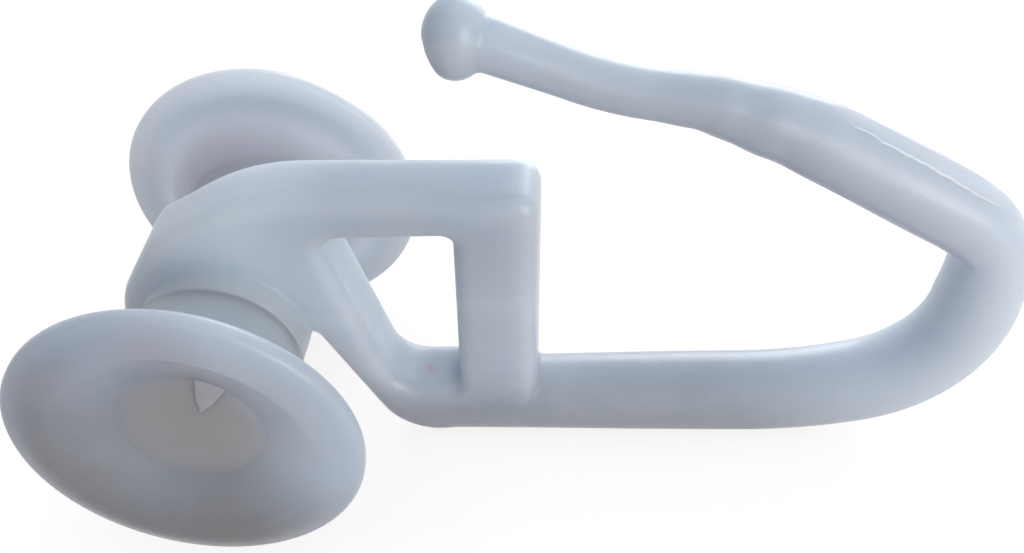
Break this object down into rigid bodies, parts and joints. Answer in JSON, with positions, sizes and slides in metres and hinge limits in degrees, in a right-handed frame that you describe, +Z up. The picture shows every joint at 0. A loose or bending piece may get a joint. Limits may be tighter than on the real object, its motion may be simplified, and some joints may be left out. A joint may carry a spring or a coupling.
{
  "type": "curtain glider",
  "caption": "Moulded plastic curtain-rail runner: an eye and an open bulb-tipped hook between dished push-on wheels that roll in the rail.",
  "frame": {"origin": "centre of the axle, midway between the wheels", "axes": "+X along the hook's shank, +Y along the axle from the front wheel to the rear wheel, +Z up, the part lying as pictured"},
  "size_m": [0.0286, 0.0118, 0.0156],
  "materials": {
    "hook_plastic": "natural milky translucent polymer, satin from the mould",
    "wheel_plastic": "natural milky translucent polymer, satin from the mould"
  },
  "bodies": {
    "hook": {"hook": "hook_plastic"},
    "front_wheel": {"front_wheel": "wheel_plastic"},
    "rear_wheel": {"rear_wheel": "wheel_plastic"}
  },
  "joints": [
    {"name": "front_wheel_spin", "type": "hinge", "parent": "hook", "child": "front_wheel", "pos_m": [0, -0.004, 0], "axis": [0, 1, 0], "continuous": true},
    {"name": "rear_wheel_spin", "type": "hinge", "parent": "hook", "child": "rear_wheel", "pos_m": [0, 0.004, 0], "axis": [0, 1, 0], "continuous": true}
  ]
}
